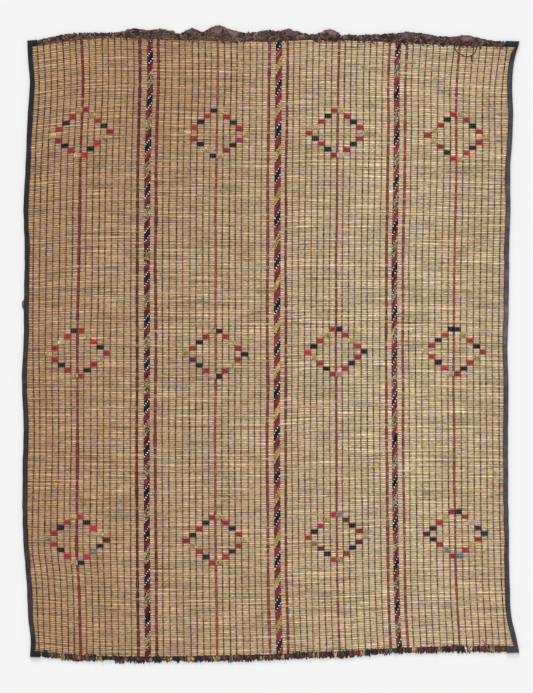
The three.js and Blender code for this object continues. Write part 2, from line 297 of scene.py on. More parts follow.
# What the colour letters mean in the bands, in the patches of the lozenges and in the near edging.
LETTERS = {
    "R": "red", "D": "ink", "K": "black", "M": "maroon", "U": "purple", "B": "umber", "Y": "ochre",
    "y": "amber", "O": "olive", "P": "pale", "W": "cream", "G": "grey", "I": "pink", "S": "straw",
    "N": "pine", "L": "rose", "C": "claret", "E": "berry", "H": "white",
}
PATCH_DYES = {
    **LETTERS, "B": "blue_grey", "P": "reed_tan", "O": "faded_olive", "Y": "faded_ochre",
    "G": "faded_grey", "W": "chalk",
}
WRAP_DYES = {
    "K": "soot", "R": "oxblood", "Y": "mustard", "B": "umber", "M": "maroon", "G": "grey", "W": "chalk",
}
STRAY_WRAPS = ["umber", "maroon", "brown", "soot"]
STRAY_TAILS = ["umber", "maroon", "oxblood", "tan"]

# The letters that each band's strips and the stitches on its mottled blocks are mixed from.
BAND_LETTERS = {
    "band_left": {"maroon": "CCCCCCMKEL", "mottled": "OOOBBSMK", "stitches": "WWPPSO"},
    "band_middle": {"maroon": "EEEEECCL", "mottled": "YYYYySSB", "stitches": "yWPPY"},
    "band_right": {"maroon": "EEEEECCL", "mottled": "SOOGGBBMK", "stitches": "WWWPPG"},
}
BLACK_LETTERS = "KKKKKKNNM"

# The leather that the brown thongs and the far edging are cut from.
THONG_DYES = ((74, 44, 32), (82, 49, 35), (94, 56, 40), (106, 66, 46), (120, 80, 56), (83, 53, 43))
EDGING_DYES = ((96, 72, 64), (68, 50, 45), (120, 96, 90), (44, 32, 30), (102, 80, 78), (108, 80, 66))

# How often each of the far edging's dyes comes up in its knots and in its rim.
KNOT_SHARES = (0.25, 0.22, 0.17, 0.16, 0.12, 0.08)
RIM_SHARES = (0.25, 0.3, 0.12, 0.18, 0.1, 0.05)

# The reeds' own two colours, and the share of the pale one: it grows from left to right across the mat,
# and is less near both ends and in one brown patch at the far end. Each row holds a place and a share.
REED_BROWN = (170, 135, 100)
REED_PALE = (200, 177, 143)
PALE_ACROSS = ((-740, 0), (-330, 0.4), (30, 0.65), (400, 1), (740, 0.75))
PALE_ALONG = ((-850, -0.1), (-300, 0), (200, 0), (850, -0.1))
BROWN_PATCH = {"x": -330, "y": 850, "width": 220, "length": 350, "depth": 0.4}

# The bindings' colour along the mat.
BINDING_COLORS = {
    "left": table(
        "y color",
        (972, (32, 25, 29)), (900, (34, 26, 31)), (600, (38, 30, 35)), (350, (38, 30, 36)),
        (100, (56, 43, 47)), (-200, (51, 40, 44)), (-750, (56, 45, 48)), (-900, (54, 45, 50)),
        (-999, (28, 27, 38)),
    ),
    "right": table(
        "y color",
        (970, (34, 30, 33)), (850, (62, 54, 60)), (650, (74, 66, 71)), (450, (84, 76, 81)),
        (270, (80, 70, 78)), (60, (94, 86, 90)), (-110, (78, 71, 75)), (-500, (76, 68, 72)),
        (-690, (66, 56, 60)), (-880, (62, 58, 64)), (-985, (66, 64, 72)),
    ),
}


def linear(color):
    """A colour from 0 to 255 as light values."""
    share = np.asarray(color, float) / 255
    return np.where(share <= 0.04045, share / 12.92, ((share + 0.055) / 1.055) ** 2.4)


def dye(name):
    """A named colour as light values."""
    return linear(DYES[name])


# ---- Curves ----
def curve_through(points):
    """A smooth function through (place, value) points, level past its ends."""
    x, y = np.array(sorted(points), float).T
    slope = np.gradient(y, x)

    def value(at):
        at = np.clip(at, x[0], x[-1])
        i = np.clip(np.searchsorted(x, at, side="right") - 1, 0, len(x) - 2)
        width = x[i + 1] - x[i]
        t = (at - x[i]) / width
        low = (1 + 2 * t) * y[i] + t * width * slope[i]
        high = (3 - 2 * t) * y[i + 1] - (1 - t) * width * slope[i + 1]
        return (1 - t) ** 2 * low + t**2 * high

    return value


def column_curve(rows, key, column):
    """A smooth function through one column of a table, by another."""
    return curve_through([(row[key], row[column]) for row in rows])


def edge_curve(side):
    """The outer edge of one side, from corner to corner."""
    top, bottom = CORNERS[side]
    clear = 2 * RETURN_WIDTH
    rows = [row for row in LENGTHWISE if bottom["y"] + clear < row["y"] < top["y"] - clear]
    ends = [(corner["y"], corner["x"]) for corner in (top, bottom)]
    return curve_through([(row["y"], row[side]) for row in rows] + ends)


TOP_LINE = column_curve(CROSSWISE, "x", "top")
BOTTOM_LINE = column_curve(CROSSWISE, "x", "bottom")
TOP_REACH = column_curve(TOP_EDGING, "x", "reach")
TOP_LUMP = column_curve(TOP_EDGING, "x", "lump")
BOTTOM_REACH = column_curve(BOTTOM_EDGING, "x", "reach")
LINES = {band["name"]: column_curve(LENGTHWISE, "y", band["name"]) for band in BANDS}
LINES.update({name: column_curve(SIDE_THONGS, "y", name) for name in ("first", "last")})
LINES.update({side: edge_curve(side) for side in CORNERS})
REED_SHARES = (np.arange(REEDS) + 0.5) / REEDS


def reed_y(x, share):
    """The y of a place on the mat, by its share of the way from the far end to the near one."""
    return TOP_LINE(x) + (BOTTOM_LINE(x) - TOP_LINE(x)) * share


def line_x(name, share):
    """The x of a lengthwise line where it crosses the reeds at those shares."""
    share = np.asarray(share, float)
    x = np.full(share.shape, float(LINES[name](0)))
    for _ in range(3):
        x = LINES[name](reed_y(x, share))
    return x


def thong_x(panel, share, place):
    """The x of a place in a panel, counted in thongs from its first one, at those shares."""
    first = line_x(panel["start"], share) + panel["first"]
    last = line_x(panel["end"], share) + panel["last"]
    across = place / (panel["thongs"] - 1)
    sway = np.interp(share, SWAY_CHANGE, panel["sway"]) * np.sin(math.pi * across)
    return first + (last - first) * across + sway


def seeded(part, number=0):
    """The random draws of a part, by its number where there are several of its kind."""
    return np.random.default_rng(SEEDS[part] + number)


def uneven_gaps(random):
    """How far each gap between reeds strays from its even place, at knots across the mat."""
    most = 1.9
    strays = random.normal(0, 0.9, (REEDS + 1, 1)) + random.normal(0, 1.1, (REEDS + 1, GAP_KNOTS + 1))
    strays[[0, -1]] = 0
    return np.clip(strays, -most, most)


GAP_STRAYS = uneven_gaps(seeded("gaps"))


def gap_y(x, gap):
    """The y of the gap on the far side of the reed of that number."""
    half_span = 800
    at = np.clip((x + half_span) / (2 * half_span), 0, 1) * GAP_KNOTS
    knot = np.clip(at.astype(int), 0, GAP_KNOTS - 1)
    t = at - knot
    return reed_y(x, gap / REEDS) + GAP_STRAYS[gap, knot] * (1 - t) + GAP_STRAYS[gap, knot + 1] * t


def crossing_y(x, place):
    """The y of a place counted in reeds from the far end: 12.5 is the middle of reed 12."""
    reed = np.clip(np.floor(place).astype(int), 0, REEDS - 1)
    part = place - reed
    return gap_y(x, reed) * (1 - part) + gap_y(x, reed + 1) * part


def wander(random, count, places, knots, amount):
    """Smooth random rows, one for each of count things, read at places from 0 to 1."""
    heights = random.normal(0, amount, (count, knots + 1))
    at = np.clip(places, 0, 1) * knots
    i = np.clip(at.astype(int), 0, knots - 1)
    t = at - i
    t = t * t * (3 - 2 * t)
    return heights[:, i] * (1 - t) + heights[:, i + 1] * t


def varied(random, amount, shape=None, middle=0.0):
    """Random factors, as likely above as below 1 where the middle is 0."""
    return np.exp(random.normal(middle, amount, shape))


def strewn(random, xs, ends, margin, stray):
    """Places in a row, each moved a little, and kept that margin inside the ends."""
    return np.clip(xs + random.normal(0, stray, len(xs)), ends[0] + margin, ends[1] - margin)


# ---- Meshes ----
def around(corners):
    """Angles evenly round a circle, one for each corner."""
    return np.linspace(0, 2 * math.pi, corners, endpoint=False)


def points_of(x, y, z):
    """Points from their coordinates, which may be of any shapes that go together."""
    return np.stack(np.broadcast_arrays(x, y, z), axis=-1)


def section(*corners):
    """A tube's rings from its corners: an (x, y, z) for each, with a value for every station."""
    return np.stack([points_of(*corner) for corner in corners], axis=1)


def swept(rings, colors, place=None):
    """Closed tubes, many at once. rings[tube, station, corner] are points in millimetres."""
    tubes, stations, corners, _ = rings.shape
    index = np.arange(tubes * stations * corners).reshape(tubes, stations, corners)
    following = np.roll(index, -1, axis=2)
    sides = np.stack([index[:, :-1], following[:, :-1], following[:, 1:], index[:, 1:]], axis=-1)
    caps = np.concatenate([index[:, 0, ::-1], index[:, -1]])
    batch = {
        "points": rings.reshape(-1, 3),
        "faces": [sides.reshape(-1, 4), caps],
        "dye": np.broadcast_to(colors, rings.shape).reshape(-1, 3),
        "shape": rings.shape[:3],
    }
    if place is not None:
        batch["place"] = place.reshape(-1, 3)
    return facing_out(batch)


def facing_out(batch):
    """Turns a batch of closed bodies over if its faces point in."""
    points = batch["points"]
    volume = 0.0
    for faces in batch["faces"]:
        first = points[faces[:, 0]]
        for k in range(1, faces.shape[1] - 1):
            volume += np.einsum("ij,ij->", first, np.cross(points[faces[:, k]], points[faces[:, k + 1]]))
    batch["turned"] = volume < 0
    if batch["turned"]:
        batch["faces"] = [faces[:, ::-1] for faces in batch["faces"]]
    return batch


def bake_layout(batch):
    """A place in the texture square for each corner of a batch's faces: one row for each tube."""
    tubes, stations, corners = batch["shape"]
    filled = 0.9
    tube, station, corner = np.meshgrid(
        np.arange(tubes), np.arange(stations - 1), np.arange(corners), indexing="ij"
    )
    steps = ((0, 0), (0, 1), (1, 1), (1, 0))
    across = np.stack([(station + s) / (stations - 1) for s, _ in steps], axis=-1)
    up = np.stack([(tube + filled * (corner + c) / corners) / tubes for _, c in steps], axis=-1)
    sides = np.stack([across, up], axis=-1).reshape(-1, 4, 2)
    if batch["turned"]:
        sides = sides[:, ::-1]
    caps = np.zeros((2 * tubes * corners, 2))
    return np.concatenate([sides.reshape(-1, 2), caps])


def stacked_layouts(batches):
    """The layouts of several batches, each in its own strip of the texture square."""
    count = len(batches)
    return np.concatenate([(bake_layout(batch) + (0, k)) / (1, count) for k, batch in enumerate(batches)])


def fill(items, key, values, kind=np.float32):
    """Writes one property of many things at once."""
    items.foreach_set(key, values.astype(kind).ravel())


def make_piece(name, batches, material, own_layout=False):
    """One object from batches of closed bodies. It rides on the mat's one body."""
    points = np.concatenate([batch["points"] for batch in batches])
    firsts = np.cumsum([0] + [len(batch["points"]) for batch in batches])
    faces = [part + first for batch, first in zip(batches, firsts) for part in batch["faces"]]
    sizes = np.concatenate([np.full(len(part), part.shape[1]) for part in faces])
    corners = np.concatenate([part.ravel() for part in faces])
    dyes = np.clip(np.concatenate([batch["dye"] for batch in batches]), 0, 1)
    mesh = bpy.data.meshes.new(name)
    mesh.vertices.add(len(points))
    fill(mesh.vertices, "co", points * MM)
    mesh.loops.add(len(corners))
    fill(mesh.loops, "vertex_index", corners, np.int32)
    mesh.polygons.add(len(sizes))
    fill(mesh.polygons, "loop_start", np.cumsum(sizes) - sizes, np.int32)
    fill(mesh.attributes.new("dye", "FLOAT_COLOR", "POINT").data, "color", np.insert(dyes, 3, 1, axis=1))
    if "place" in batches[0]:
        places = np.concatenate([batch["place"] for batch in batches])
        fill(mesh.attributes.new("place", "FLOAT_VECTOR", "POINT").data, "vector", places)
    if own_layout:
        fill(mesh.uv_layers.new(name="OFBake").data, "uv", stacked_layouts(batches))
    mesh.update(calc_edges=True)
    mesh.shade_smooth()
    mesh.materials.append(material)
    piece = new_object(name, mesh)
    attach(piece, "root")
    return piece


def new_object(name, data):
    """An object in the scene."""
    made = bpy.data.objects.new(name, data)
    bpy.context.scene.collection.objects.link(made)
    return made


# ---- Materials ----
BUMP_DEPTH = 0.4 * MM


def node(tree, kind, sockets=(), **settings):
    """Adds a node. A socket's value is a plain one, or another node's output to link."""
    made = tree.nodes.new("ShaderNode" + kind)
    for key, value in settings.items():
        setattr(made, key, value)
    for key, value in dict(sockets).items():
        if isinstance(value, bpy.types.NodeSocket):
            tree.links.new(value, made.inputs[key])
        else:
            made.inputs[key].default_value = value
    return made


def calculate(tree, operation, first, second=0.0, third=0.0):
    """One step of arithmetic."""
    return node(tree, "Math", {0: first, 1: second, 2: third}, operation=operation).outputs[0]


def spread(tree, value, low, high, to_low=0.0, to_high=1.0):
    """A value moved from one range to another, held at its ends."""
    sockets = {"Value": value, "From Min": low, "From Max": high, "To Min": to_low, "To Max": to_high}
    return node(tree, "MapRange", sockets).outputs[0]


def blended(tree, factor, first, second):
    """A mix of two colours."""
    return node(tree, "Mix", {0: factor, 6: first, 7: second}, data_type="RGBA").outputs[2]


def shaded(tree, color, factor):
    """A colour made lighter or darker by a factor."""
    return node(tree, "VectorMath", {0: color, "Scale": factor}, operation="SCALE").outputs[0]


def times(tree, color, other):
    """Two colours multiplied, part by part."""
    return node(tree, "VectorMath", {0: color, 1: other}, operation="MULTIPLY").outputs[0]


def combined(tree, *parts):
    """A vector or a colour from its parts."""
    return node(tree, "CombineXYZ", dict(enumerate(parts))).outputs[0]


def noise(tree, vector, scale=1.0, detail=2.0):
    """Smooth noise from 0 to 1, mostly near the middle."""
    sockets = {"Vector": vector, "Scale": scale, "Detail": detail}
    return node(tree, "TexNoise", sockets).outputs["Fac"]


def noise_along(tree, x, length, number, apart):
    """Noise that changes over that length of X, and is unlike from one numbered reed or gap to the next."""
    place = (calculate(tree, "DIVIDE", x, length), calculate(tree, "MULTIPLY", number, apart))
    return noise(tree, combined(tree, *place))


def stretched(tree, spot, scale):
    """A place with each of its coordinates scaled."""
    return node(tree, "Mapping", {"Vector": spot, "Scale": scale}).outputs[0]


def attribute(tree, name, output):
    """What the mesh says about each of its points."""
    return node(tree, "Attribute", attribute_name=name).outputs[output]


def new_material(name):
    """A material with its nodes and its shader."""
    material = bpy.data.materials.new(name)
    material.use_nodes = True
    tree = material.node_tree
    shader = next(n for n in tree.nodes if n.type == "BSDF_PRINCIPLED")
    return material, tree, shader


def link_surface(tree, shader, color, relief, strength, roughness):
    """Links what a material computes to its shader."""
    bump = node(tree, "Bump", {"Height": relief, "Strength": strength, "Distance": BUMP_DEPTH})
    for key, output in {"Base Color": color, "Normal": bump.outputs[0], "Roughness": roughness}.items():
        tree.links.new(output, shader.inputs[key])


def reed_material():
    """Dry reeds: each stretch between two thongs has its own tint, with streaks, specks and rings, and
    painted shade next to the thongs and along the gaps between reeds.
    """
    material, tree, shader = new_material("dry_reed")
    shader.inputs["Specular IOR Level"].default_value = 0.3
    x, row, line = node(tree, "SeparateXYZ", {0: attribute(tree, "place", "Vector")}).outputs
    spot = node(tree, "TexCoord").outputs["Object"]
    reed = calculate(tree, "FLOOR", row)
    stretch = combined(tree, calculate(tree, "FLOOR", line), reed)
    random = node(tree, "TexWhiteNoise", {"Vector": stretch}, noise_dimensions="3D").outputs
    specks = noise_along(tree, x, 3.4, reed, 3.71)
    streaks = noise_along(tree, x, 95.0, reed, 7.13)
    rings = ring_shade(tree, x, reed)
    # Painted shade: the reeds are darker close to each thong, where they dip under it.
    painted_shade = spread(tree, calculate(tree, "PINGPONG", line, 0.5), 0.06, 0.2, 0.72, 1.0)

    brightness = reed_brightness(tree, random["Value"], specks, streaks, spot)
    brightness = calculate(tree, "MULTIPLY", brightness, calculate(tree, "MULTIPLY", rings, painted_shade))
    paling = [spread(tree, brightness, 1.0, 1.5, 1.0, most) for most in (1.03, 1.16, 1.32)]
    color = times(tree, reed_tint(tree, random["Color"], spot), combined(tree, *paling))
    color = times(tree, shaded(tree, color, brightness), painted_gap_shade(tree, x, row))

    grain = noise(tree, stretched(tree, spot, (45, 2300, 2300)), 1.0, 3.0)
    relief = calculate(tree, "MULTIPLY_ADD", rings, -0.6, calculate(tree, "ADD", grain, specks))
    link_surface(tree, shader, color, relief, 0.35, spread(tree, specks, 0.3, 0.7, 0.42, 0.62))
    return material


def ring_shade(tree, x, reed):
    """The dark rings at the reeds' joints, at other places on each reed."""
    spacing = 210.0
    along = calculate(tree, "ADD", x, calculate(tree, "MULTIPLY", reed, 77.7))
    ring = calculate(tree, "FRACT", calculate(tree, "DIVIDE", along, spacing))
    return spread(tree, ring, 0.0, 0.014, 0.55, 1.0)


def reed_brightness(tree, tone, specks, streaks, spot):
    """How light a reed is: a tone for each stretch, and four kinds of noise over it."""
    fibres = noise(tree, stretched(tree, spot, (90, 400, 400)))
    weather = noise(tree, spot, 17, 4.0)
    brightness = calculate(tree, "MULTIPLY_ADD", tone, 0.18, 1.04)
    layers = ((specks, 0.25, 0.45), (streaks, 0.3, 0.28), (fibres, 0.3, 0.84), (weather, 0.3, 0.14))
    for value, low, amount in layers:
        value = spread(tree, value, low, 1 - low, -0.5, 0.5)
        brightness = calculate(tree, "MULTIPLY_ADD", value, amount, brightness)
    brightness = calculate(tree, "SMOOTH_MIN", brightness, 1.35, 0.5)
    return calculate(tree, "MULTIPLY", brightness, spread(tree, streaks, 0.24, 0.34, 0.62, 1.0))


def reed_tint(tree, color, spot):
    """The mesh's own colour, tinted by the stretch's random colour and by two fine noises."""
    warm, olive, pink = node(tree, "SeparateColor", {0: color}).outputs[:3]
    tint = attribute(tree, "dye", "Color")
    for value, low, most, toward in (
        (olive, 0.6, 0.12, (0.40, 0.36, 0.17, 1)),
        (pink, 0.75, 0.08, (0.58, 0.38, 0.29, 1)),
        (warm, 0.8, 0.12, (0.70, 0.57, 0.38, 1)),
    ):
        tint = blended(tree, spread(tree, value, low, 1.0, 0.0, most), tint, toward)
    moved = node(tree, "Mapping", {"Vector": spot, "Location": (3, 5, 0)}).outputs[0]
    redness = spread(tree, noise(tree, spot, 60), 0.3, 0.7, 0.92, 1.09)
    blueness = spread(tree, noise(tree, moved, 80), 0.3, 0.7, 0.78, 1.2)
    return times(tree, tint, combined(tree, redness, 1.0, blueness))


def painted_gap_shade(tree, x, row):
    """Painted shade in runs along the gaps between reeds: short runs, and fewer long ones."""
    gap = calculate(tree, "ROUND", row)
    runs = []
    for length, apart, low, high, most in ((20.0, 4.37, 0.4, 0.6, 0.85), (110.0, 2.93, 0.53, 0.6, 1.0)):
        runs.append(spread(tree, noise_along(tree, x, length, gap, apart), low, high, 0.0, most))
    from_gap = calculate(tree, "ABSOLUTE", calculate(tree, "SUBTRACT", row, gap))
    near_gap = spread(tree, from_gap, 0.05, 0.3, 1.0, 0.0)
    # How strong the painted shade in the gaps is at each place.
    gap_shading = calculate(tree, "MULTIPLY", calculate(tree, "MAXIMUM", *runs), near_gap)
    return blended(tree, gap_shading, (1, 1, 1, 1), (0.34, 0.24, 0.18, 1))


def leather_material(name, roughness, patchy=0.25, crease_scale=260, specular=0.18):
    """Leather that takes its colour from the mesh, with a fine grain, creases darkened with painted shade,
    and faded places.
    """
    material, tree, shader = new_material(name)
    shader.inputs["Specular IOR Level"].default_value = specular
    spot = node(tree, "TexCoord").outputs["Object"]
    fading = noise(tree, spot, 75, 3.0)
    grain = noise(tree, spot, 1500)
    creases = node(tree, "TexVoronoi", {"Vector": spot, "Scale": crease_scale}, feature="DISTANCE_TO_EDGE")
    crease = spread(tree, creases.outputs["Distance"], 0.0, 0.12)
    factor = spread(tree, fading, 0.3, 0.7, 1 - patchy, 1 + patchy)
    factor = calculate(tree, "MULTIPLY", factor, spread(tree, grain, 0.3, 0.7, 0.9, 1.1))
    # Painted shade in the creases, on top of their bump.
    factor = calculate(tree, "MULTIPLY", factor, spread(tree, crease, 0.0, 1.0, 0.86, 1.0))
    color = shaded(tree, attribute(tree, "dye", "Color"), factor)
    relief = calculate(tree, "MULTIPLY_ADD", grain, 0.35, crease)
    gloss = spread(tree, fading, 0.3, 0.7, roughness - 0.08, roughness + 0.1)
    link_surface(tree, shader, color, relief, 0.5, gloss)
    return material


# ---- Reeds ----
def region_color(x, y):
    """The reeds' own colour at a place on the mat."""
    across, along = (np.array(rows).T for rows in (PALE_ACROSS, PALE_ALONG))
    away_x = (x - BROWN_PATCH["x"]) / BROWN_PATCH["width"]
    away_y = (y - BROWN_PATCH["y"]) / BROWN_PATCH["length"]
    patch = BROWN_PATCH["depth"] * np.exp(-(away_x**2) - away_y**2)
    share = np.interp(x, *across) + np.interp(y, *along) - patch
    brown, pale = linear(REED_BROWN), linear(REED_PALE)
    return brown + (pale - brown) * np.clip(share, 0, 1)[..., None]


def reed_lines():
    """The stations of every reed: their x on each one, and each station's place among the thongs."""
    inset = 3.0
    per_panel = 6
    xs = []
    places = []
    count = 0
    for panel in PANELS:
        at_edge = panel["start"] == "first"
        xs.append(line_x("left", REED_SHARES) + inset if at_edge else line_x(panel["start"], REED_SHARES))
        places.append(count)
        for place in np.linspace(0, panel["thongs"] - 1, per_panel):
            xs.append(thong_x(panel, REED_SHARES, place))
            places.append(count + 1 + place)
        count += panel["thongs"] + 1
    xs.append(line_x("right", REED_SHARES) - inset)
    places.append(count)
    return np.stack(xs, axis=1), np.array(places)[:, None]


def reed_tones(random, across, up, shape):
    """What makes the reeds' colour lighter or darker: each reed's tone, painted shade on the sides and more
    at the lower corners, and streaks.
    """
    tint = varied(random, 0.045, (REEDS, 1, 1, 1))
    # Painted shade on each reed's sides, stronger at its lower corners, where it meets its neighbours.
    side_shade = np.where(np.abs(across) < 0.75, 0.0, np.where(up > 0, 1.0, 1.6))[:, None]
    side_shade = side_shade * random.uniform(0.1, 1.9, (*shape, 1))
    painted_shade = np.exp(np.array((-0.5, -0.7, -0.95)) * side_shade)
    return tint * painted_shade * varied(random, 0.2, (*shape, 1), 0.04)


def build_reeds():
    """All the reeds. Each has its own width, thickness and tone, and painted shade on its sides."""
    random = seeded("reeds")
    corners = 8
    x, places = reed_lines()
    number = np.arange(REEDS)[:, None]
    far = gap_y(x, number)
    near = gap_y(x, number + 1)
    y = (far + near) / 2
    at_end = np.isin(np.arange(x.shape[1]), (0, x.shape[1] - 1))
    end_lift = 0.6
    z = MAT_THICKNESS / 2 + end_lift * at_end + random.normal(0, 0.16, x.shape) * ~at_end
    across_mat = (x.mean(axis=0) - x.min()) / (x.max() - x.min())
    filled = 0.975 + random.normal(0, 0.03, x.shape)
    width = np.clip((far - near) * filled + wander(random, REEDS, across_mat, 9, 0.12), *REED_WIDTHS)
    height = REED_HEIGHT * np.clip((width / REED_PITCH) ** 0.3, 0.85, 1.1)
    angle = around(corners) + math.pi / corners
    across, up = (np.sign(f) * np.abs(f) ** 0.5 for f in (np.cos(angle), np.sin(angle)))
    across = across * np.where(up < 0, 1.1, 1.0)
    x, y, z, width, height = (value[..., None] for value in (x, y, z, width, height))
    rings = points_of(x, y + width / 2 * across, z + height / 2 * up)
    colors = region_color(x, y) * reed_tones(random, across, up, rings.shape[:3])
    # The material reads where it is: x, the reed's number with the share across it, and the thongs before.
    down = 0.5 - 0.49 * np.clip(across, -1, 1)
    place = points_of(x, number[..., None] + down, places)
    return make_piece("reeds", [swept(rings, colors, place)], reed_material(), own_layout=True)


# ---- Thongs ----
# The three stations of a loop: how far along its reed, to the side and down, and how light, with painted
# shade at its ends, where it dips between reeds, and painted light on its crest.
LOOP = np.array((1, 3, 5)) / 6
LOOP_SLANT = np.tile((-0.55, 0.0, 0.55), REEDS)
LOOP_DROP = np.tile((0.75, 0.0, 0.75), REEDS)
LOOP_PAINTED_LIGHT = np.tile((0.72, 1.12, 0.72), REEDS)

# A thong's section: the places from side to side, how light, with painted shade on its sides and painted
# light on its crest, and how many thicknesses its sides lie below its crest on the brown thongs and on the
# red ones.
THONG_ACROSS = np.array((-1, 0, 1))
THONG_PAINTED_LIGHT = np.array((0.85, 1.15, 0.85))
BROWN_DROP = 0.85
RED_DROP = 0.4

# What a red thong's colour is multiplied by at the other end of its fading.
RED_FADING = (0.84, 0.86, 1.0)


def each_loop(random, amount, count):
    """A random value for each loop of each thong, the same at its three stations."""
    return np.repeat(random.normal(0, amount, (count, REEDS)), len(LOOP), axis=1)


def thong_colors(random, panel, front):
    """Each thong fades from one dye to another, its loops differ, and a loop's ends get painted shade and its
    crest painted light.
    """
    count = panel["thongs"]
    reds = RED_THONGS[panel["name"]]
    palette = linear(THONG_DYES) * panel["shade"]
    start = palette[random.integers(0, len(palette), count)]
    end = palette[random.integers(0, len(palette), count)]
    for thong, (name, _) in reds.items():
        start[thong] = dye(name)
        end[thong] = dye(name) * RED_FADING
    share = np.clip(0.5 + wander(random, count, front, 9, 0.4), 0, 1)[..., None]
    tone = np.exp(each_loop(random, 0.28, count)) * LOOP_PAINTED_LIGHT
    tone[list(reds)] **= 0.5
    return (start[:, None] * (1 - share) + end[:, None] * share) * tone[..., None]


def back_runs(panel, places, wobble, width, colors):
    """The flat runs of a panel's thongs under the reeds."""
    shares = REED_SHARES[::BACK_STEP]
    kept = slice(1, None, len(LOOP) * BACK_STEP)
    x = (thong_x(panel, shares, places) + wobble[:, kept])[..., None]
    z = 1.15 * np.abs(THONG_ACROSS) * THONG_THICKNESS
    rings = points_of(x + width[..., None] / 2 * THONG_ACROSS, reed_y(x, shares[:, None]), z)
    return swept(rings, colors[:, kept, None, :])


def build_thongs(panel, random, material):
    """One panel's thongs: over each reed a slanting loop, and under it a flat run."""
    count = panel["thongs"]
    places = np.arange(count)[:, None]
    crossings = (np.arange(REEDS)[:, None] + LOOP).ravel()
    front = crossings / REEDS
    wobble = wander(random, count, front, 14, 0.8) + random.normal(0, 0.7, (count, 1))
    x = thong_x(panel, front, places) + wobble
    y = crossing_y(x, crossings)
    x = x + LOOP_SLANT * random.choice((1, 1, 1, -1), (count, 1))
    lift = np.clip(each_loop(random, 0.12, count), -0.25, 0.15)
    crest = MAT_THICKNESS - LOOP_DROP + lift
    width = THONG_WIDTH * panel["breadth"] * varied(random, 0.09, (count, 1))
    side_drop = np.full((count, 1, 1), BROWN_DROP)
    for thong, (_, red_width) in RED_THONGS[panel["name"]].items():
        width[thong] = red_width
        side_drop[thong] = RED_DROP
    half = width / 2 * (1 + wander(random, count, front, 40, 0.09) + each_loop(random, 0.08, count))
    z = crest[..., None] - side_drop * np.abs(THONG_ACROSS) * THONG_THICKNESS
    rings = points_of(x[..., None] + half[..., None] * THONG_ACROSS, y[..., None], z)
    colors = thong_colors(random, panel, front)
    # The sides of each thong get painted shade and its crest painted light.
    fronts = swept(rings, colors[:, :, None, :] * THONG_PAINTED_LIGHT[:, None])
    backs = back_runs(panel, places, wobble, width, colors)
    return make_piece(panel["name"], [fronts, backs], material, own_layout=True)


# ---- Lozenges ----
def build_lozenges(material):
    """Small wrapped patches, corner to corner round a lozenge, each nearly three reeds high."""
    random = seeded("lozenges")
    strips = [strip for place in patch_places() for strip in patch_strips(*place, random)]
    rings, colors = (np.array(column) for column in zip(*strips))
    return make_piece("lozenges", [swept(rings, colors)], material)


def patch_places():
    """Every patch: its panel, its first reed, the thongs that it lies between and its colour letter."""
    middle = LOZENGE_CELLS.index(max(LOZENGE_CELLS))
    for reed, charts in zip(LOZENGE_REEDS, LOZENGES):
        for panel, chart in zip(PANELS, charts):
            for k, (pair, cell) in enumerate(zip(chart.split(), LOZENGE_CELLS)):
                first_reed = reed - 1 + (k - middle) * REEDS_PER_PATCH
                for side, letter in zip((-1, 1), pair):
                    thongs = [panel["centre"] + side * (cell - back) for back in (1, 0)]
                    yield panel, first_reed, thongs, letter


def patch_strips(panel, first_reed, thongs, letter, random):
    """The wraps of one patch, from the one thong to the other and over both: rings and colours."""
    gap = 0.04
    edge = 0.3
    sunk, rise = 0.6, 0.95
    place = first_reed + np.arange(2 * REEDS_PER_PATCH + 1) / 2
    place[[0, -1]] += edge, -edge
    high = np.array([0.0, 1.0] * REEDS_PER_PATCH + [0.0])
    over = math.copysign(THONG_WIDTH * 0.35, thongs[1] - thongs[0])
    start = thong_x(panel, place / REEDS, thongs[0]) - over
    width = thong_x(panel, place / REEDS, thongs[1]) + over - start
    patch = dye(PATCH_DYES[letter]) * varied(random, 0.12)
    uneven = 0.3 if letter in "POYG" else 0.12
    # Painted shade where a patch dips into the gaps between reeds, and painted light over each reed.
    shade = np.where(high > 0, 1.12, 0.7)[:, None, None]
    strips = []
    for strip in range(STRIPS_PER_PATCH):
        left, right = (start + width * (strip + part) / STRIPS_PER_PATCH for part in (gap, 1 - gap))
        y_left, y_right = (crossing_y(x, place) for x in (left, right))
        top = MAT_THICKNESS - sunk + rise * high + random.normal(0, 0.08)
        side = top - edge
        low = side - THONG_THICKNESS
        bevel = (right - left) * 0.14
        ring = section(
            (left, y_left, low), (left, y_left, side), (left + bevel, y_left, top),
            (right - bevel, y_right, top), (right, y_right, side), (right, y_right, low),
        )
        tone = varied(random, uneven, (len(place), 1, 1))
        strips.append((ring, np.broadcast_to(patch * shade * tone, ring.shape)))
    return strips


# ---- Bands ----
# A strip's section across the band, from side to side: the places and how far they lie below its crest.
STRIP_ACROSS = np.array((-1.0, -0.8, -0.27, 0.27, 0.8, 1.0))
STRIP_DROP = np.array((1.5, 0.25, 0.0, 0.0, 0.25, 1.5))

# The stitches: their places across a band, how many of these are taken over the mottled blocks, and how
# many along both sides of a block, with their letter.
STITCH_PLACES = (-0.75, -0.25, 0.25, 0.75)
MOTTLED_STITCHES = 0.55
SIDE_STITCHES = {"black": (0.95, "H"), "mottled": (0.6, "W")}


def band_blocks(band):
    """The blocks of a band from its far end: (kind, y of the far side, y of the near side)."""
    middle = curve_through(band["middles"])
    first, last = band["middles"][0], band["middles"][-1]
    pitch = (first[1] - last[1]) / (last[0] - first[0])
    centres = [first[1] + pitch] + [float(middle(i)) for i in range(first[0], last[0] + 1)]
    centres += [centres[-1] - pitch * k for k in (1, 2)]
    kinds = ("black", "maroon", "mottled", "maroon")
    whole = sum(band[kind] for kind in kinds)
    blocks = []
    for high, low in zip(centres, centres[1:]):
        scale = (high - low) / whole
        y = high + band["black"] * scale / 2
        for kind in kinds:
            blocks.append((kind, y, y - band[kind] * scale))
            y -= band[kind] * scale
    return blocks


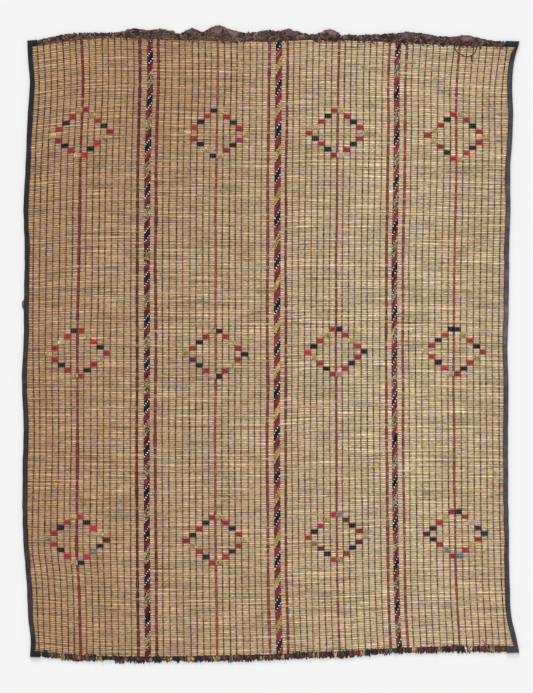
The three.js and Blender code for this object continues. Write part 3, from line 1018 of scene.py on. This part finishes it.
def build_band(band, random, leather, thread):
    """A band of slanting strips, with light stitches along the blocks' sides and over the mottled ones."""
    line = LINES[band["name"]]
    letters = {"black": BLACK_LETTERS, **BAND_LETTERS[band["name"]]}
    ends = (float(BOTTOM_LINE(line(LENGTHWISE[-1]["y"]))) + 1, float(TOP_LINE(line(LENGTHWISE[0]["y"]))) - 1)
    rings = []
    colors = []
    stitches = []
    for kind, far, near in band_blocks(band):
        strips = max(2, round((far - near) / STRIP_PITCH))
        pitch = (far - near) / strips
        for k in range(strips):
            y = far - pitch * (k + 0.5)
            ring = strip_ring(band, y, pitch, ends, random)
            if ring is not None:
                rings.append(ring)
                colors.append(strip_colors(letters[kind], random))
            if kind == "mottled":
                stitches += stitch_row(y, MOTTLED_STITCHES, letters["stitches"], random)
        if kind in SIDE_STITCHES:
            for y in (far, near):
                stitches += stitch_row(y, *SIDE_STITCHES[kind], random)
    strips = [swept(np.array(rings), np.array(colors))]
    beads = [stitch_batch(band, stitches, ends, random)]
    return (
        make_piece(band["name"] + "_strips", strips, leather),
        make_piece(band["name"] + "_stitches", beads, thread),
    )


def strip_ring(band, y, pitch, ends, random):
    """One slanting strip across a band, cut off at the band's ends."""
    half = band["width"] / 2
    middle = y + STRIP_ACROSS * half * band["slant"]
    least = 0.5
    low, high = (np.clip(middle + side * pitch * 0.48, *ends) for side in (-1, 1))
    if np.all(high - low < least):
        return None
    high = np.maximum(high, low + 0.2)
    x = LINES[band["name"]]((low + high) / 2) + STRIP_ACROSS * (half + random.normal(0, 0.4))
    z = BAND_SURFACE - STRIP_DROP + random.normal(0, 0.15)
    bevel = (high - low) * 0.2
    side, under = z - 0.5, z - 1.2
    return section(
        (x, low, under), (x, low, side), (x, low + bevel, z),
        (x, high - bevel, z), (x, high, side), (x, high, under),
    )


def strip_colors(letters, random):
    """A strip's colours: one of the letters at each station, with painted shade at its edges and painted
    light on its top.
    """
    shade = np.array([dye(LETTERS[letter]) for letter in random.choice(list(letters), len(STRIP_ACROSS))])
    # Painted shade on the strip's lower edges, where it meets the next strip, and painted light on its top.
    edge = np.array((0.6, 0.85, 1.1, 1.1, 0.85, 0.6))[None, :, None]
    tone = np.exp(random.normal(0, 0.2) + random.normal(0, 0.18, (len(STRIP_ACROSS), 1, 1)))
    return shade[:, None, :] * edge * tone


def stitch_row(y, chance, letters, random):
    """Stitches along a slanting line of a band: (place across from -1 to 1, y of the line, letter)."""
    places = [place for place in STITCH_PLACES if random.random() < chance]
    return [(place, y, random.choice(list(letters))) for place in places]


def stitch_batch(band, stitches, ends, random):
    """The stitches of a band, but for those too near its ends."""
    half = band["width"] / 2
    margin = 4
    place, y, letters = zip(*stitches)
    place = np.array(place)
    y = np.array(y) + place * half * band["slant"] + random.normal(0, 0.5, len(place))
    inside = (y > ends[0] + margin) & (y < ends[1] - margin)
    shades = np.array([dye(LETTERS[letter]) for letter in letters])[inside]
    centres = points_of(LINES[band["name"]](y) + place * half, y, BAND_SURFACE + 0.2)[inside]
    turn = np.arctan2(1.0, -band["slant"]) + random.normal(0, 0.25, len(centres))
    return bead_batch(centres, turn, BAND_STITCH, shades, random)


def bead_batch(centres, turn, sizes, colors, random):
    """Small round-ended bodies: stitches, knots and folds. turn is the way each one lies, in XY."""
    length, width, height = sizes
    along = np.array((-0.5, -0.34, 0.0, 0.34, 0.5))[:, None]
    girth = np.array((0.4, 0.85, 1.0, 0.85, 0.4))[:, None]
    angle = around(6)
    scale = varied(random, 0.12, len(centres))
    reach, out, up = ((measure * scale)[:, None, None] for measure in (length, width / 2, height / 2))
    reach = reach * along
    out = out * girth * np.cos(angle)
    up = up * girth * np.sin(angle)
    cos, sin = (f(turn)[:, None, None] for f in (np.cos, np.sin))
    x, y, z = centres.T[..., None, None]
    rings = points_of(x + cos * reach - sin * out, y + sin * reach + cos * out, z + up)
    return swept(rings, colors[:, None, None, :] * varied(random, 0.16, (len(centres), len(along), 1, 1)))


# ---- Side bindings ----
INWARD = {"left": 1, "right": -1}


def corner_stations(corner, inward, way, shares):
    """The stations of a return, by their shares of the way from its end (0) to the corner (1)."""
    x, y, end_x, end_y = (corner[key] for key in ("x", "y", "end_x", "end_y"))
    return [(end_x + (x - end_x) * t, end_y + (y - end_y) * t, inward * t, way) for t in shares]


def binding_stations(side):
    """Places along a binding: its outer point, and which way and how much the flap reaches in."""
    inward = INWARD[side]
    top, bottom = CORNERS[side]
    spacing = 9.0
    clear = 2 * RETURN_WIDTH
    shares = np.linspace(0, 1, 6)[:-1]
    stations = corner_stations(top, inward, -1.0, shares)
    for y in np.linspace(top["y"], bottom["y"], int((top["y"] - bottom["y"]) / spacing)):
        near_top = max(0.0, 1 - (top["y"] - y) / clear)
        near_bottom = max(0.0, 1 - (y - bottom["y"]) / clear)
        stations.append((float(LINES[side](y)), y, inward, near_bottom - near_top))
    return np.array(stations + corner_stations(bottom, inward, 1.0, shares[::-1]))


def binding_colors(side, y):
    """A binding's colour along the mat."""
    rows = BINDING_COLORS[side]
    curves = [curve_through([(row["y"], linear(row["color"])[k]) for row in rows]) for k in range(3)]
    return np.stack([curve(y) for curve in curves], axis=-1)


def build_binding(side, random, leather, thread):
    """A folded strip of leather round one side of the mat, and the stitches along it."""
    x, y, inward, along = (column[:, None] for column in binding_stations(side).T)
    places = np.linspace(0, 1, len(x))
    flap, height = np.array(BINDING_SECTION).T
    x = x + wander(random, 1, places, 70, 0.5).T
    reach = 1 + wander(random, 1, places, 60, 0.04).T
    puffs = wander(random, 1, places, 90, 0.16).T
    puffs = puffs * np.where(height > 6.3, 0.4 + 0.6 * (flap < 0.9), 0)
    x = x + inward * BINDING_WIDTH * flap * reach
    rings = points_of(x, y + along * RETURN_WIDTH * flap, height + puffs)
    tone = np.exp(wander(random, 1, places, 120, 0.16).T)
    # Painted shade: the flap darkens towards its inner edge, where it meets the reeds; it is lighter over its
    # crown.
    painted_flap_shade = np.interp(flap, (0, 0.1, 0.5, 0.85, 1), (1.0, 1.0, 1.15, 1.0, 0.45))[:, None]
    colors = (binding_colors(side, y[:, 0]) * tone)[None, :, None, :] * painted_flap_shade
    batches = [swept(rings[None], colors)]
    if side == "left":
        batches.append(tag_batch(random))
    return (
        make_piece("binding_" + side + "_leather", batches, leather),
        make_piece("binding_" + side + "_stitches", [binding_stitches(side, random)], thread),
    )


def binding_stitches(side, random):
    """A row of dark stitches along a binding's inner edge."""
    spacing = 12.0
    from_corner = 26
    top, bottom = CORNERS[side]
    y = np.arange(bottom["y"] + from_corner, top["y"] - from_corner, spacing)
    centres = points_of(LINES[side](y) + INWARD[side] * (BINDING_WIDTH - 2.2), y, 7.35)
    turn = math.pi / 2 + random.normal(0, 0.12, len(y))
    return bead_batch(centres, turn, BINDING_STITCH, dye("umber")[None] * 0.8, random)


def tag_batch(random):
    """A tag of old, rubbed leather that stands out of the left binding."""
    middle = 129.0
    along = np.linspace(-1, 1, 9)
    y = middle + along * 16
    out = 6.5 * np.clip(1.35 * (1 - along**2), 0, 1) + random.normal(0, 0.3, len(along))
    x = LINES["left"](y)
    rings = section((x + 1.0, y, 2.5), (x + 1.0, y, 5.2), (x - out, y, 4.4), (x - out, y, 3.2))
    return swept(rings[None], dye("mauve"))


# ---- Far edging ----
# The far limit of the mat, which the folds of the far edging are kept inside, and the rows of knots in
# the deepest part of that edging, with the lowest and highest place of one.
FAR_LIMIT = cad_box[1].y / MM - 0.5
KNOT_ROWS = 9
KNOT_HEIGHTS = (1.8, 10.5)


def edging_ends(end):
    """The x of an edging's ends, between the bindings' returns: end 0 is the far edging, 1 the near."""
    return CORNERS["left"][end]["end_x"] + EDGING_GAP, CORNERS["right"][end]["end_x"] - EDGING_GAP


def build_top_edging(leather):
    """A ragged roll of plaited leather: a core, knots over it, a lumpy rim, smooth folds and tan wraps."""
    random = seeded("far_edging")
    ends = edging_ends(0)
    palette = linear(EDGING_DYES)
    batches = [far_core_batch(random, ends, palette[1]), knot_batch(random, ends, palette)]
    batches += [rim_batch(random, ends, palette), lump_batch(random)]
    batches += [tan_batch(random, row) for row in TAN_ROWS]
    return make_piece("edging_top_leather", batches, leather)


def far_height(x, above, lumpy):
    """A height measured from the far edging's own, with that share of its lumps."""
    return TOP_EDGING_HEIGHT + above + lumpy * TOP_LUMP(x)


def far_core_batch(random, ends, color):
    """The core under the knots. It stays inside the rim, and is nowhere shallower than that inset."""
    inset = 7
    x = np.linspace(*ends, 300)[:, None]
    angle = around(12)
    depth = (np.maximum(TOP_REACH(x) - inset, inset) + random.normal(0, 0.9, x.shape)) / 2
    high = far_height(x, -2.2, 0.6) + random.normal(0, 0.35, x.shape)
    squared = np.sign(np.sin(angle)) * np.abs(np.sin(angle)) ** 0.7
    y = TOP_LINE(x) + EDGING_GAP + depth + depth * np.cos(angle)
    rings = points_of(x, y, high / 2 * (1 + squared))[None]
    return swept(rings, color * varied(random, 0.25, (*rings.shape[:3], 1)))


def uneven_sizes(random, size, amounts, count):
    """A length and a width for each of count bodies, and their one height."""
    length, width = (measure * varied(random, amount, count) for measure, amount in zip(size, amounts))
    return length, width, size[2]


def knot_row(random, row, ends):
    """One row of the plait: where its knots are and how they lie. None are left where the rim begins."""
    spacing, depth = 6.2, 6.0
    rim_depth = 6.5
    radius = 2.5
    even = np.arange(ends[0] + 3, ends[1] - 3, spacing) + random.uniform(-1.8, 1.8)
    x = strewn(random, even, ends, 4, 1.4)
    out = depth * row + random.normal(0, 1.5, len(x)) - 0.5
    reach = TOP_REACH(x) + random.normal(0, 2.0, len(x))
    kept = out < reach - rim_depth
    x, out, reach = x[kept], out[kept], reach[kept]
    share = np.clip(out / np.maximum(reach, 1), 0, 1)
    arch = np.sin(math.pi * np.clip(0.12 + 0.78 * share, 0, 1)) ** 0.5
    z = far_height(x, -2.0, 0.8) * arch + random.normal(0, 0.5, len(x))
    y = np.minimum(TOP_LINE(x) + out, FAR_LIMIT - radius)
    lean = 0.75 if row % 2 else -0.75
    return points_of(x, y, np.clip(z, *KNOT_HEIGHTS)), lean + random.normal(0, 0.4, len(x))


def knot_batch(random, ends, palette):
    """The plait: short folds of leather in rows along the edge, leaning one way and then the other."""
    rows = [knot_row(random, row, ends) for row in range(KNOT_ROWS)]
    centres, turns = (np.concatenate(column) for column in zip(*rows))
    sizes = uneven_sizes(random, KNOT, (0.2, 0.2), len(centres))
    shades = palette[random.choice(len(palette), len(centres), p=KNOT_SHARES)]
    return bead_batch(centres, turns, sizes, shades, random)


def rim_batch(random, ends, palette):
    """The outer rim: longer folds laid end to end, each bulging a little more or less than the next."""
    spacing = 8.5
    inset = 3.2
    radius = 4
    x = strewn(random, np.arange(ends[0] + 7, ends[1] - 7, spacing), ends, 8, 1.6)
    count = len(x)
    ahead, behind = (TOP_LINE(x + side) + TOP_REACH(x + side) for side in (radius, -radius))
    turn = np.arctan2(ahead - behind, 2 * radius) + random.normal(0, 0.2, count)
    y = np.minimum((ahead + behind) / 2 - inset + random.normal(0, 0.9, count), FAR_LIMIT - radius)
    z = 3.4 + 0.3 * TOP_LUMP(x) + random.normal(0, 0.3, count)
    sizes = uneven_sizes(random, RIM_FOLD, (0.18, 0.2), count)
    shades = palette[random.choice(len(palette), count, p=RIM_SHARES)]
    return bead_batch(points_of(x, y, z), turn, sizes, shades, random)


def lump_batch(random):
    """The smooth folds: rounded humps with a crease along them."""
    t = np.linspace(0, 1, 13)[:, None]
    swell = np.clip(np.sin(math.pi * t), 0.04, 1) ** 0.6
    angle = around(14)
    cos, sin = np.cos(angle), np.sin(angle)
    # Painted light on the top of each fold and painted shade on its underside, with a darker rim along its
    # far side.
    lit = (0.7 + 0.4 * np.clip(sin, 0, 1)) * (1 - 0.6 * np.clip((cos - 0.3) / 0.7, 0, 1))
    rings = []
    colors = []
    for k, lump in enumerate(LUMPS):
        x = lump["x"] + (t - 0.5) * lump["length"]
        depth = TOP_REACH(x) * 0.34 * swell
        middle = TOP_LINE(x) + TOP_REACH(x) * 0.96 - depth
        crest = far_height(x, 0.35 * lump["rise"], 0.5)
        puff = 1 + 0.12 * np.cos(angle * 3 + k) + random.normal(0, 0.03, (len(t), len(angle)))
        rings.append(points_of(x, middle + depth * cos * puff, crest / 2 * (1 + swell * sin * 0.96)))
        colors.append(dye(lump["color"]) * varied(random, 0.12, (len(t), len(angle), 1)) * lit[:, None])
    return swept(np.array(rings), np.array(colors))


def tan_batch(random, row):
    """A row of orange-brown wraps at the left part of the far edging."""
    spacing = 5.5
    x = np.arange(row["start"], TAN_ROWS_END, spacing)
    x = x[random.random(len(x)) < row["share"]]
    y = TOP_LINE(x) + random.normal(row["out"], 1.0, len(x))
    turn = random.normal(0.5, 0.5, len(x))
    shades = dye("tan") * (0.72, 0.74, 0.78) * varied(random, 0.3, (len(x), 1))
    return bead_batch(points_of(x, y, row["height"]), turn, TAN_WRAP, shades, random)


# ---- Near edging ----
# A wrap's section: places from side to side, their heights, and how light, with painted shade on its sides
# and painted light on its crest.
# Then how many wraps have a stray dye, and how far past the last reed a wrap ends at least and at most.
WRAP_ACROSS = np.array((-1, -0.8, 0, 0.8, 1))
WRAP_UP = np.array((-0.8, 0.0, 0.4, 0.0, -0.8))
WRAP_PAINTED_LIGHT = np.array((0.5, 0.85, 1.15, 0.85, 0.5))
STRAY_SHARE = 0.3
WRAP_ENDS = (11, 23)

# A tail's section: places from side to side, and their heights.
TAIL_ACROSS = np.array((-1, -0.6, 0.6, 1))
TAIL_UP = np.array((-0.45, 0.45, 0.45, -0.45))


def build_bottom_edging(leather):
    """A core past the last reed, wrapped in coloured blocks, with cut tails and stray ends."""
    random = seeded("near_edging")
    ends = edging_ends(1)
    batches = [wrap_batch(random, ends), near_core_batch(ends), tail_batch(random)]
    return make_piece("edging_bottom_leather", batches, leather)


def wrap_places(random, ends):
    """The turns of the wrapped blocks: x, dye, and where each starts and ends, off the last reed."""
    blocks = [(word[0], float(word[1:])) for word in WRAPS.split()]
    scale = (ends[1] - ends[0]) / sum(width for _, width in blocks)
    x = ends[0]
    wraps = []
    for letter, width in blocks:
        count = max(2, round(width * scale / WRAP_PITCH))
        start = random.normal(4.0 if letter in "KR" else 1.6, 1.0)
        end = float(BOTTOM_REACH(x)) + random.normal(-0.2, 1.5)
        for k in range(count):
            stray = random.random() > 1 - STRAY_SHARE
            name = random.choice(STRAY_WRAPS) if stray else WRAP_DYES[letter]
            place = x + width * scale * (k + 0.5) / count
            wraps.append((place, name, start + random.normal(0, 1.2), end + random.normal(0, 1.5)))
        x += width * scale
    return wraps


def wrap_batch(random, ends):
    """The wraps: arched strips over the core, side by side."""
    middle, names, start, end = (np.array(column)[:, None] for column in zip(*wrap_places(random, ends)))
    count = len(middle)
    t = np.linspace(0, 1, 8)
    arch = np.sin(math.pi * np.clip(t, 0.03, 0.97)) ** 0.5
    x = middle + random.normal(1.0, 4.5, (count, 1)) * (t - 0.5)
    y = BOTTOM_LINE(x) + start - (start + np.clip(end, *WRAP_ENDS)) * t
    z = 0.9 + (BOTTOM_EDGING_HEIGHT - 0.7 + random.normal(0, 0.4, (count, 1))) * arch
    z = np.maximum(z, np.where(y > BOTTOM_LINE(x), MAT_THICKNESS - 0.4, 0))
    half = WRAP_PITCH * 0.52 * varied(random, 0.16, (count, 1, 1))
    rings = points_of(x[..., None] + half * WRAP_ACROSS, y[..., None], z[..., None] + WRAP_UP)
    base = np.array([dye(name) for name in names[:, 0]])[:, None, None, :]
    tone = np.exp(random.normal(-0.05, 0.25, (count, 1, 1, 1)) + random.normal(0, 0.3, (count, len(t), 1, 1)))
    # Painted shade at both ends of each wrap: against the reeds and at its low outer end.
    tone = tone * np.interp(t, (0, 0.25, 0.8, 1), (0.5, 1, 1.05, 0.8))[:, None, None]
    return swept(rings, base * tone * WRAP_PAINTED_LIGHT[:, None])


def near_core_batch(ends):
    """The core under the wraps."""
    x = np.linspace(*ends, 240)[:, None]
    angle = around(10)
    inset = 5
    radius = 2.6
    depth = (BOTTOM_REACH(x) - inset) / 2
    y = BOTTOM_LINE(x) - EDGING_GAP - depth + depth * np.cos(angle)
    return swept(points_of(x, y, radius * (1 + np.sin(angle)))[None], dye("umber") * 0.6)


def stray_tails(random):
    """Single stray ends between the bunches."""
    count, width = 24, 3
    ends = (-725, 740)
    rows = []
    for x in random.uniform(*ends, count):
        rows.append((x, width, BOTTOM_REACH(x) + random.uniform(0, 2.5), random.choice(STRAY_TAILS)))
    return table("x width reach color", *rows)


def tail_batch(random):
    """Bunches of cut ends that stand out of the near edging, and single stray ones between them."""
    inside = 8
    t = np.linspace(0, 1, 5)
    rings = []
    colors = []
    for tail in TAILS + stray_tails(random):
        ends = max(1, round(tail["width"] / TAIL_PITCH))
        for k in range(ends):
            fan = (k + 0.5) / ends - 0.5
            root = tail["x"] + fan * tail["width"] * 0.8
            length = tail["reach"] - BOTTOM_EDGING_REACH + inside + random.normal(0, 1.0)
            x = root + (fan * 6 + random.normal(0, 2.2)) * t**1.4
            y = BOTTOM_LINE(root) - BOTTOM_EDGING_REACH + inside - length * t
            z = np.maximum(5.0 - 3.8 * t + random.normal(0, 0.3), 0.6)
            half = 2.0 - 0.6 * t
            x, y, z, half = (value[:, None] for value in (x, y, z, half))
            rings.append(points_of(x + half * TAIL_ACROSS, y, z + TAIL_UP))
            colors.append(dye(tail["color"]) * varied(random, 0.3))
    return swept(np.array(rings), np.array(colors)[:, None, None, :])


# ---- Loose threads ----
def build_loose(loose, random, material):
    """A thin strip that lies loose on the reeds."""
    along = np.linspace(0, 1, len(loose["points"]))
    t = np.linspace(0, 1, 40)
    x, y = (curve_through(list(zip(along, column)))(t) for column in zip(*loose["points"]))
    z = MAT_THICKNESS + 0.6 + random.normal(0, 0.1, len(t))
    way = np.array((np.gradient(x), np.gradient(y)))
    way_x, way_y = (way / np.linalg.norm(way, axis=0))[..., None]
    angle = around(6)
    out = loose["width"] * np.cos(angle)
    rings = points_of(x[:, None] - way_y * out, y[:, None] + way_x * out, z[:, None] + 0.5 * np.sin(angle))
    return make_piece(loose["name"], [swept(rings[None], linear(loose["color"]))], material)


# ---- Stage ----
FRAME_WIDTH, FRAME_HEIGHT = 1705.6, 2217.6
FRAME_CENTRE = (-12.8, -6.4)
BACKGROUND = (*linear((245, 245, 245)), 1)
# The lamps on the far side: the share of the light on the floor, the height in degrees, how wide each
# one looks, and how far both are turned.
LAMPS = table("name share height width", ("high_lamp", 0.22, 50, 26), ("low_lamp", 0.18, 20, 14))
LAMPS_TURN = 6


def build_camera():
    """A camera straight above, with the photograph's frame."""
    distance = 8.0
    sensor = 36.0
    data = bpy.data.cameras.new("camera")
    data.sensor_width = sensor
    data.lens = sensor * distance / (max(FRAME_WIDTH, FRAME_HEIGHT) * MM)
    data.clip_end = 100
    camera = new_object("camera", data)
    camera.location = (FRAME_CENTRE[0] * MM, FRAME_CENTRE[1] * MM, distance)
    bpy.context.scene.camera = camera


def build_stage():
    """A plain pale floor."""
    size = 40.0
    mesh = bpy.data.meshes.new("floor")
    corners = [(-size, -size, 0), (size, -size, 0), (size, size, 0), (-size, size, 0)]
    mesh.from_pydata(corners, [], [(0, 1, 2, 3)])
    material, _, shader = new_material("floor_paint")
    for key, value in {"Base Color": BACKGROUND, "Roughness": 1.0, "Specular IOR Level": 0.0}.items():
        shader.inputs[key].default_value = value
    mesh.materials.append(material)
    new_object("floor", mesh)


def build_lamps():
    """Wide lamps on the far side."""
    for lamp in LAMPS:
        data = bpy.data.lights.new(lamp["name"], "SUN")
        data.energy = math.pi * lamp["share"] / math.sin(math.radians(lamp["height"]))
        data.angle = math.radians(lamp["width"])
        turned = (-math.radians(90 - lamp["height"]), 0, math.radians(LAMPS_TURN))
        new_object(lamp["name"], data).rotation_euler = turned


def build_world():
    """An even sky that brings the lamps' light up to the level of a white card, and a pale background."""
    world = bpy.data.worlds.new("studio")
    world.use_nodes = True
    bpy.context.scene.world = world
    tree = world.node_tree
    tree.nodes.clear()
    rays = node(tree, "LightPath").outputs
    seen = calculate(tree, "ADD", rays["Is Camera Ray"], rays["Is Glossy Ray"])
    seen = calculate(tree, "MINIMUM", calculate(tree, "ADD", seen, rays["Is Transmission Ray"]), 1.0)
    sky = 1 - sum(lamp["share"] for lamp in LAMPS)
    color = blended(tree, seen, (sky, sky, sky, 1), BACKGROUND)
    background = node(tree, "Background", {"Color": color, "Strength": 1.0}).outputs[0]
    node(tree, "OutputWorld", {"Surface": background})


# ---- The mat ----
bpy.context.scene.view_settings.view_transform = "Standard"
build_camera()
build_stage()
build_lamps()
build_world()

thong_leather = leather_material("thong_leather", 0.6, specular=0.0)
band_leather = leather_material("band_leather", 0.6, specular=0.03)
binding_leather = leather_material("binding_leather", 0.52, patchy=0.3, crease_scale=170)
edging_leather = leather_material("edging_leather", 0.62, patchy=0.4, crease_scale=220)
thread = leather_material("pale_thread", 0.75, patchy=0.12, crease_scale=900)

reeds = build_reeds()
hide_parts("reed_mat")
others = [build_thongs(panel, seeded("thongs", k), thong_leather) for k, panel in enumerate(PANELS)]
others.append(build_lozenges(band_leather))
for k, band in enumerate(BANDS):
    strips, stitches = build_band(band, seeded("bands", k), band_leather, thread)
    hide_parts(band["name"])
    others += [strips, stitches]
for k, side in enumerate(("left", "right")):
    leather, stitches = build_binding(side, seeded("bindings", k), binding_leather, thread)
    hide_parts("binding_" + side)
    others += [leather, stitches]
top_edging = build_top_edging(edging_leather)
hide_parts("edging_top")
bottom_edging = build_bottom_edging(edging_leather)
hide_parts("edging_bottom")
others += [top_edging, bottom_edging]
others += [build_loose(loose, seeded("loose", k), edging_leather) for k, loose in enumerate(LOOSE_THREADS)]
